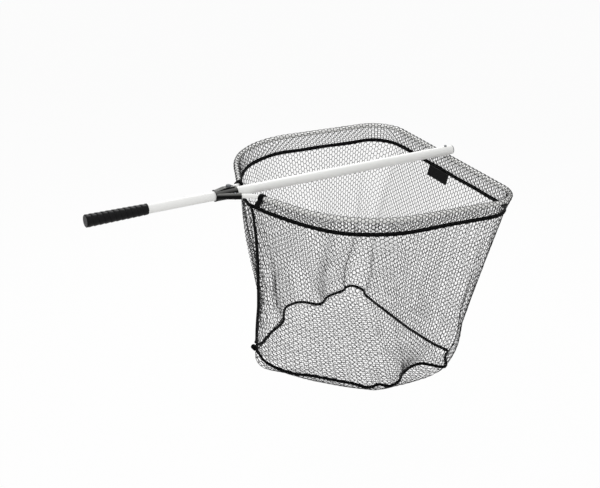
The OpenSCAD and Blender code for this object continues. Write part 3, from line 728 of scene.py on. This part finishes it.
def on_label(y, fall, out):
    """Points of the front wall, out from it, at a place y along it and a fall below the rim seam."""
    columns = np.arange(FRONT_MIDDLE - 20, FRONT_MIDDLE + 20)
    col = np.interp(y, rim[columns, 1], columns)
    top, low = side_point(col, 0.0, out), side_point(col, 0.08, out)
    slope = (low[..., 0] - top[..., 0]) / (top[..., 2] - low[..., 2])
    return np.stack([top[..., 0] + slope * fall, top[..., 1], top[..., 2] - fall], -1)


wide, tall = 40, 10
y, fall = np.meshgrid(np.linspace(*LABEL_SIDES, wide + 1), np.linspace(*LABEL_EDGES, tall + 1))
curl = 0.5 * np.sin(np.linspace(0, 7, wide + 1)) * (np.linspace(0, 1, tall + 1) ** 2)[:, None]
cloth = on_label(y, fall, -2.4 - curl)
corners = [(r * (wide + 1) + c) for r in range(tall) for c in range(wide)]
faces = [(i, i + 1, i + wide + 2, i + wide + 1) for i in corners]
label = place_piece("label_cloth_tab", cloth.reshape(-1, 3), faces, label_cloth, "binding")
mark_uv(label, "label", [((i % (wide + 1)) * 2.3, (i // (wide + 1)) * 2.2) for f in faces for i in f])
thicken(label, LABEL_T)
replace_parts(label, "label_tab")

# Stitches on the bindings, the seam tape and the label's hem.

ends = []
for lift in (-2.0, 2.0):
    for gap in (RIM_TAPE[1] / 2 + 0.05, -RIM_TAPE[1] / 2 - 0.05):
        ends.append(stitch_ends(closed_up(rim_path) + [0, 0, lift], closed_up(rim_out), gap))
for gap in (BASE_TAPE[1] / 2 + 0.1, -BASE_TAPE[1] / 2 - 0.1):
    ends.append(stitch_ends(closed_up(base), closed_up(base_out), gap))
for shift in (-3.2, 3.2):
    for gap in (BACK_TAPE[1] / 2 + 0.05, -BACK_TAPE[1] / 2 - 0.05):
        ends.append(stitch_ends(back_path + [0, shift, 0], back_out, gap))
left, right = LABEL_SIDES[0] + HEM, LABEL_SIDES[1] - HEM
upper, lower = LABEL_EDGES[0] + HEM - 0.5, LABEL_EDGES[1] - HEM
hem = np.array([(left, upper), (right, upper), (right, lower), (left, lower), (left, upper)])
hem = np.vstack([np.linspace(p, q, n) for p, q, n in zip(hem, hem[1:], (40, 8, 40, 8))])
ends.append(stitch_ends(on_label(hem[:, 0], hem[:, 1], -3.1), np.zeros((len(hem), 3)), 0.0, 3.4, 2.2))
a, b = (np.vstack([e[i] for e in ends]) for i in (0, 1))
place_piece("seam_stitches", *threads(a, b, 0.6), sewing, "binding")

# Grip: one rubber tape wound round the tube, each turn lapping the last.

pitch = GRIP_LONG / TURNS
lap = [
    (0.0, 11.2),
    (0.0, 13.0),
    (0.25, 13.65),
    (0.8, 14.0),
    (1.8, WOUND_R),
    (4.5, 13.95),
    (8.5, 13.55),
    (pitch - 0.6, 13.05),
    (pitch + 1.0, 12.8),
    (pitch + 1.0, 11.2),
]
bpy.ops.object.select_all(action="DESELECT")
bpy.ops.mesh.primitive_circle_add(vertices=len(lap), radius=0.01, location=(0, 0, 0))
grip = bpy.context.object
grip.name = "grip_wrap"
for vert, (along_x, r) in zip(grip.data.vertices, lap):
    vert.co = Vector(((GRIP_START - pitch + along_x) * MM, -r * MM, 0))
winding = grip.modifiers.new("winding", "SCREW")
winding.axis = "X"
winding.angle = 2 * math.pi
winding.screw_offset = pitch * MM
winding.iterations = TURNS + 1
winding.steps = winding.render_steps = 56
winding.use_normal_calculate = True
bpy.ops.object.modifier_apply(modifier=winding.name)
for end, waste in ((GRIP_START, "clear_inner"), (GRIP_START + GRIP_LONG, "clear_outer")):
    bpy.ops.object.mode_set(mode="EDIT")
    bpy.ops.mesh.select_all(action="SELECT")
    bpy.ops.mesh.bisect(plane_co=(end * MM, 0, 0), plane_no=(1, 0, 0), use_fill=True, **{waste: True})
    bpy.ops.object.mode_set(mode="OBJECT")
face_out(grip)
for vert in grip.data.vertices:
    if math.hypot(vert.co.y, vert.co.z) > 12 * MM:
        share = (vert.co.x / MM - GRIP_START) / GRIP_LONG
        taper = (BUTT_R + (FRONT_R - BUTT_R) * share) / WOUND_R
        vert.co.y *= taper
        vert.co.z *= taper
grip.data.materials.clear()
grip.data.materials.append(wrap_rubber)
bpy.ops.object.shade_smooth_by_angle(angle=math.radians(50))
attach(grip, "handle")
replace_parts(grip, "grip")

# Snap spring: a folded strip of steel in the tube, whose upper leaf goes down with the button.

leaf_line = [(854, -8.34), (795, -8.34), (793.3, -7.9), (792.4, -6.7), (792.9, -5.3), (842, 6.9), (854, 6.9)]
leaf_line = even(np.array(leaf_line), LEAF_STEPS, last=True)
bpy.ops.object.select_all(action="DESELECT")
bpy.ops.mesh.primitive_grid_add(x_subdivisions=LEAF_STEPS, y_subdivisions=2, size=1.0, location=(0, 0, 0))
leaf = bpy.context.object
leaf.name = "snap_leaf_spring"
for vert in leaf.data.vertices:
    x, z = leaf_line[round((vert.co.x + 0.5) * LEAF_STEPS)]
    vert.co = Vector((x, vert.co.y * LEAF_WIDE, z)) * MM
thicken(leaf, LEAF_T)
face_out(leaf)
leaf.data.materials.append(steel)
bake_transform(leaf)
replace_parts(leaf, "snap_spring")

# Finishes of the solids that are carried over.

for skin, names in (
    (white_coat, ("handle_tube", "hoop")),
    (moulded, ("yoke",)),
    (wrap_rubber, ("butt_cap",)),
    # The lock knob is black nylon; its grey moulding is painted highlight, standing in for the light on its
    # dome.
    (grey_moulding, ("tip_plug", "lock_pad", "lock_knob")),
    (steel, ("snap_button", "lock_screw")),
    (brass, ("lock_insert",)),
    (alloy, ("rivet_near", "rivet_far")),
):
    for name in names:
        nodes[name].data.materials.clear()
        nodes[name].data.materials.append(skin)


# Floor, light and camera.


def seen_rays(tree):
    """1 for what the camera sees, directly, in a reflection or through a clear surface."""
    rays = add_node(tree, "ShaderNodeLightPath")
    seen = rays.outputs["Is Camera Ray"]
    for kind in ("Is Glossy Ray", "Is Transmission Ray"):
        links = {0: seen, 1: rays.outputs[kind]}
        seen = add_node(tree, "ShaderNodeMath", (), links, operation="MAXIMUM").outputs[0]
    return seen


def softbox(name, place, aim, wide, tall, watts):
    """A rectangular lamp at a place in metres, aimed at a point."""
    data = bpy.data.lights.new(name, "AREA")
    data.shape = "RECTANGLE"
    data.size, data.size_y, data.energy = wide, tall, watts
    lamp = bpy.data.objects.new(name, data)
    lamp.location = place
    lamp.rotation_euler = (Vector(aim) - Vector(place)).to_track_quat("-Z", "Y").to_euler()
    bpy.context.scene.collection.objects.link(lamp)


# White paper that is seen as nearly pure white, and lights the net from below as paper does.
bpy.ops.object.select_all(action="DESELECT")
bpy.ops.mesh.primitive_plane_add(size=16, location=(0.45, 1.5, -0.95))
floor = bpy.context.object
floor.name = "floor"
paper, tree, shader, place = finish("white_paper_floor", "#f8f8f7", 0.9)
white = add_node(tree, "ShaderNodeMath", {1: 0.93}, {0: seen_rays(tree)}, operation="MULTIPLY").outputs[0]
glow = add_node(tree, "ShaderNodeEmission", {"Color": (1, 1, 1, 1), "Strength": 1.0}).outputs["Emission"]
mix = add_node(tree, "ShaderNodeMixShader", (), {0: white, 1: shader.outputs["BSDF"], 2: glow})
tree.links.new(mix.outputs["Shader"], tree.nodes["Material Output"].inputs["Surface"])
floor.data.materials.append(paper)

world = bpy.data.worlds.new("studio")
bpy.context.scene.world = world
world.use_nodes = True
tree = world.node_tree
dim = tree.nodes["Background"]
dim.inputs["Color"].default_value = (1, 1, 1, 1)
dim.inputs["Strength"].default_value = 0.55
backdrop = add_node(tree, "ShaderNodeBackground", {"Color": (1, 1, 1, 1), "Strength": 1.0})
links = {0: seen_rays(tree), 1: dim.outputs["Background"], 2: backdrop.outputs["Background"]}
mix = add_node(tree, "ShaderNodeMixShader", (), links)
tree.links.new(mix.outputs["Shader"], tree.nodes["World Output"].inputs["Surface"])

softbox("key_softbox", (1.25, 1.3, 1.35), (0.3, 0.0, 0.0), 0.9, 2.1, 23)
softbox("front_fill", (-0.9, -1.7, 2.3), (0.4, 0.0, -0.2), 1.6, 1.6, 31)

camera = bpy.data.objects.new("photo_camera", bpy.data.cameras.new("photo_camera"))
bpy.context.scene.collection.objects.link(camera)
camera.data.lens = 90.0
camera.data.sensor_width = 36.0
camera.data.clip_end = 60.0
camera.matrix_world = Matrix(
    (
        (0.88034, 0.191496, -0.433971, -1.0726),
        (-0.47434, 0.355400, -0.805412, -2.8270),
        (0.0, 0.914888, 0.403708, 1.2541),
        (0.0, 0.0, 0.0, 1.0),
    )
)
bpy.context.scene.camera = camera
bpy.context.scene.view_settings.view_transform = "Standard"
